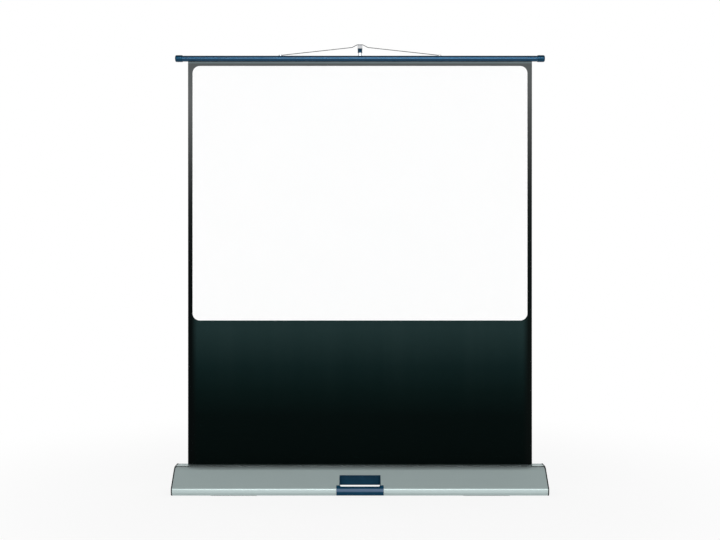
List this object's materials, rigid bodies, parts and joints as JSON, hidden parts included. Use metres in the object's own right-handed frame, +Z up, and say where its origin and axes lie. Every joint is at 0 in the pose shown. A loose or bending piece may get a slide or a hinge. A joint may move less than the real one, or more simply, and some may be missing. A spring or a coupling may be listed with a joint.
{
  "type": "portable projection screen",
  "caption": "Floor-standing pull-up projection screen: white picture on black fabric, navy top bar hooked on a telescopic rear mast, sprung roller in an aluminium casing with carrying handle.",
  "frame": {"origin": "on the floor under the screen fabric, at the middle of the casing's length", "axes": "+Z up, X along the casing, -Y the way the picture faces"},
  "size_m": [1.654, 0.294, 1.9952],
  "materials": {
    "silver_anodised": "satin silver anodised sheet",
    "black_rubber": "matt",
    "black_felt": "felt",
    "grey_plastic": "dark grey moulding",
    "zinc_steel": "zinc plated",
    "navy_plastic": "semi-gloss navy moulding",
    "black_plastic": "matt black moulding",
    "bright_steel": "bright plated tube",
    "black_fabric": "matt black coated cloth",
    "white_fabric": "matt white coating",
    "raw_aluminium": "mill finish",
    "black_steel": "black powder coat",
    "grey_hook": "light grey moulding",
    "navy_paint": "gloss navy paint",
    "black_hem": "black strip",
    "spring_wire": "spring steel wire"
  },
  "bodies": {
    "base": {"front_shell": "silver_anodised", "rear_shell": "silver_anodised", "top_cover": "silver_anodised", "cover_bead": "black_rubber", "slot_felt_front": "black_felt", "slot_felt_rear": "black_felt", "end_cap_left": "grey_plastic", "end_cap_right": "grey_plastic", "end_cap_screws": "zinc_steel", "handle_tray": "navy_plastic", "handle_grip": "navy_plastic", "handle_screws": "zinc_steel", "roller_bracket_left": "zinc_steel", "roller_bracket_right": "zinc_steel", "spring_shaft": "zinc_steel", "idle_pin": "zinc_steel", "torsion_spring": "zinc_steel", "mast_socket": "black_plastic", "socket_screws": "zinc_steel", "mast_outer": "bright_steel", "mast_foot_plug": "black_plastic", "nose_pads": "black_rubber", "foot_bolts": "zinc_steel", "screen_sheet": "black_fabric", "image_surface": "white_fabric"},
    "roller": {"roller_tube": "raw_aluminium", "spring_end_plug": "black_plastic", "idle_end_plug": "black_plastic", "wound_fabric": "black_fabric"},
    "left_foot": {"foot_left": "black_steel", "foot_pad_left": "black_rubber"},
    "right_foot": {"foot_right": "black_steel", "foot_pad_right": "black_rubber"},
    "lower_lock": {"lower_lock_collar": "black_plastic"},
    "mast_middle": {"mast_middle": "bright_steel", "middle_bush": "black_plastic"},
    "upper_lock": {"upper_lock_collar": "black_plastic"},
    "mast_inner": {"mast_inner": "bright_steel", "inner_bush": "black_plastic", "head_collar": "navy_plastic", "bail_hook": "grey_hook", "hook_cap": "grey_hook"},
    "top_bar": {"bar_tube": "navy_paint", "bar_cap_left": "navy_plastic", "bar_cap_right": "navy_plastic", "hem_strip": "black_hem", "hem_rod": "raw_aluminium", "bail_eye_left": "zinc_steel", "bail_eye_right": "zinc_steel"},
    "bail": {"bail_leg_left": "spring_wire", "bail_leg_right": "spring_wire", "bail_top": "spring_wire"}
  },
  "joints": [
    {"name": "screen_lift", "type": "slide", "parent": "base", "child": "top_bar", "axis": [0, 0, 1], "range_m": [-1.05, 0], "deforming": ["screen_sheet", "image_surface"]},
    {"name": "mast_middle_slide", "type": "slide", "parent": "base", "child": "mast_middle", "axis": [0, 0, 1], "range_m": [-0.53, 0]},
    {"name": "mast_inner_slide", "type": "slide", "parent": "mast_middle", "child": "mast_inner", "axis": [0, 0, 1], "range_m": [-0.53, 0]},
    {"name": "roller_spin", "type": "hinge", "parent": "base", "child": "roller", "pos_m": [0, -0.02455, 0.07], "axis": [1, 0, 0], "range_deg": [-2520, 0]},
    {"name": "bail_swing", "type": "hinge", "parent": "top_bar", "child": "bail", "pos_m": [0, 0, 1.945], "axis": [1, 0, 0], "range_deg": [0, 90]},
    {"name": "lower_lock_twist", "type": "hinge", "parent": "base", "child": "lower_lock", "pos_m": [0, 0.031, 0.79], "axis": [0, 0, 1], "range_deg": [0, 90]},
    {"name": "upper_lock_twist", "type": "hinge", "parent": "mast_middle", "child": "upper_lock", "pos_m": [0, 0.031, 1.38], "axis": [0, 0, 1], "range_deg": [0, 90]},
    {"name": "left_foot_swing", "type": "hinge", "parent": "base", "child": "left_foot", "pos_m": [-0.6, -0.06, 0.02], "axis": [0, 0, -1], "range_deg": [0, 90]},
    {"name": "right_foot_swing", "type": "hinge", "parent": "base", "child": "right_foot", "pos_m": [0.6, -0.06, 0.02], "axis": [0, 0, 1], "range_deg": [0, 90]}
  ],
  "couplings": [
    {"joint": "mast_middle_slide", "follows": "screen_lift", "ratio": 0.5},
    {"joint": "mast_inner_slide", "follows": "screen_lift", "ratio": 0.5},
    {"joint": "roller_spin", "follows": "screen_lift", "rad_per_m": 41.667}
  ]
}
